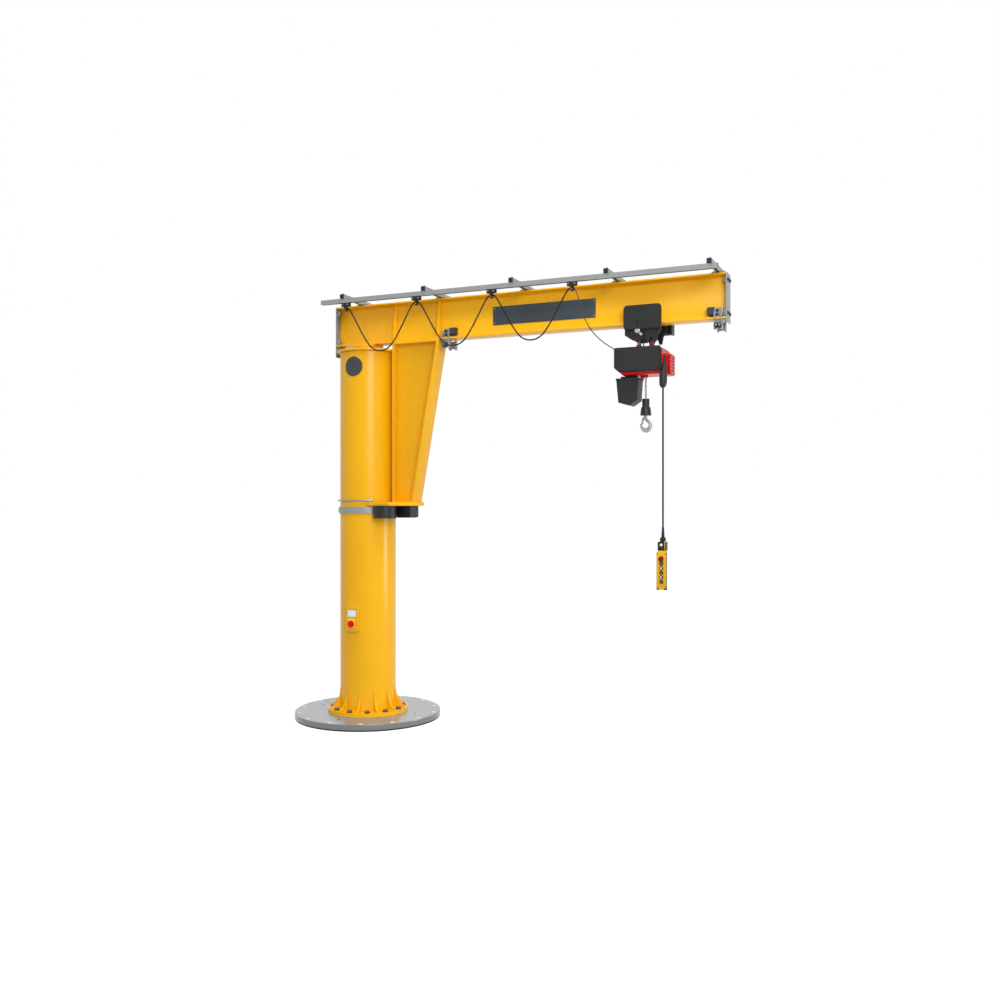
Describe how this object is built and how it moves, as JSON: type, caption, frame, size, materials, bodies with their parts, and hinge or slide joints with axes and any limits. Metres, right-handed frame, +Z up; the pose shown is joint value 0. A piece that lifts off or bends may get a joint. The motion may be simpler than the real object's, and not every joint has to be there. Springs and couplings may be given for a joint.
{
  "type": "pillar jib crane",
  "caption": "Pillar-mounted jib crane: round column on a bolted base, slewing I-beam arm, travelling trolley with chain hoist and hook, festoon cable and hanging pendant.",
  "frame": {"origin": "centre of the anchor circle at floor level, on the pillar's axis", "axes": "+Z up along the pillar, +X along the arm in its rest position, festoon rail on the -Y side"},
  "size_m": [3.2858, 1.1, 3.157],
  "materials": {
    "yellow_paint": "satin golden-yellow powder coat",
    "zinc": "hot-dip galvanised, satin",
    "pad_rubber": "matt",
    "plug_plastic": "matt",
    "isolator_plastic": "smooth",
    "knob_plastic": "smooth",
    "housing_black": "satin black",
    "sign_slate": "satin slate coating",
    "buffer_rubber": "matt",
    "black_plastic": "fine-grained",
    "cable_jacket": "matt jacket",
    "trolley_black": "satin black",
    "wheel_steel": "machined",
    "hoist_red": "die-cast aluminium, gloss red paint",
    "chain_steel": "zinc-plated",
    "hook_steel": "forged, satin",
    "pendant_yellow": "fine-grained",
    "button_black": "smooth"
  },
  "bodies": {
    "pillar": {"floor_pad": "pad_rubber", "base_plate": "zinc", "pillar_foot": "yellow_paint", "pillar_tube": "yellow_paint", "pillar_cap": "yellow_paint", "access_plug": "plug_plastic", "isolator_box": "isolator_plastic", "track_band": "zinc"},
    "isolator_switch": {"isolator_knob": "knob_plastic"},
    "jib": {"jib_beam": "yellow_paint", "bracket": "yellow_paint", "foot_plate": "yellow_paint", "roller_housing": "housing_black", "guide_rollers": "wheel_steel", "tie_rod": "zinc", "end_plates": "zinc", "sign_plate": "sign_slate", "end_stops": "zinc", "stop_buffers": "buffer_rubber", "festoon_rail": "zinc", "festoon_arms": "zinc", "arm_caps": "black_plastic", "end_clamp": "black_plastic", "festoon_cable_1": "cable_jacket", "festoon_cable_2": "cable_jacket", "festoon_cable_3": "cable_jacket", "festoon_cable_4": "cable_jacket"},
    "festoon_car_1": {"carrier_1": "black_plastic"},
    "festoon_car_2": {"carrier_2": "black_plastic"},
    "festoon_car_3": {"carrier_3": "black_plastic"},
    "trolley": {"trolley_frame": "trolley_black", "trolley_covers": "black_plastic", "trolley_wheels": "wheel_steel", "trolley_motor": "trolley_black", "hoist_body": "hoist_red", "hoist_cover": "black_plastic", "hoist_pins": "zinc", "chain_box": "black_plastic", "pendant_cable": "cable_jacket", "pendant": "pendant_yellow", "pendant_buttons": "button_black"},
    "bottom_block": {"hook_block": "trolley_black", "load_chain": "chain_steel"},
    "swivel_hook": {"hook": "hook_steel"},
    "safety_latch": {"hook_latch": "hook_steel"}
  },
  "joints": [
    {"name": "jib_slew", "type": "hinge", "parent": "pillar", "child": "jib", "pos_m": [0, 0, 2.8], "axis": [0, 0, 1], "range_deg": [-125, 125]},
    {"name": "trolley_travel", "type": "slide", "parent": "jib", "child": "trolley", "axis": [1, 0, 0], "range_m": [-1.29, 0.315], "deforming": ["festoon_cable_1", "festoon_cable_2", "festoon_cable_3", "festoon_cable_4"]},
    {"name": "festoon_travel_1", "type": "slide", "parent": "jib", "child": "festoon_car_1", "axis": [1, 0, 0], "range_m": [-0.3235, 0.0798]},
    {"name": "festoon_travel_2", "type": "slide", "parent": "jib", "child": "festoon_car_2", "axis": [1, 0, 0], "range_m": [-0.646, 0.1585]},
    {"name": "festoon_travel_3", "type": "slide", "parent": "jib", "child": "festoon_car_3", "axis": [1, 0, 0], "range_m": [-0.9685, 0.2373]},
    {"name": "hook_lift", "type": "slide", "parent": "trolley", "child": "bottom_block", "axis": [0, 0, 1], "range_m": [-2, 0.12], "deforming": ["load_chain"]},
    {"name": "hook_swivel", "type": "hinge", "parent": "bottom_block", "child": "swivel_hook", "pos_m": [2.18, 0, 2.21], "axis": [0, 0, 1], "continuous": true},
    {"name": "latch_pivot", "type": "hinge", "parent": "swivel_hook", "child": "safety_latch", "pos_m": [2.18, 0, 2.211], "axis": [0, -1, 0], "range_deg": [0, 30], "stiffness_Nm_per_rad": 0.05, "springref_deg": -20.05},
    {"name": "isolator_turn", "type": "hinge", "parent": "pillar", "child": "isolator_switch", "pos_m": [0, -0.24, 0.727], "axis": [0, -1, 0], "range_deg": [0, 90]}
  ],
  "couplings": [
    {"joint": "festoon_travel_1", "follows": "trolley_travel", "ratio": 0.25},
    {"joint": "festoon_travel_2", "follows": "trolley_travel", "ratio": 0.5},
    {"joint": "festoon_travel_3", "follows": "trolley_travel", "ratio": 0.75}
  ]
}
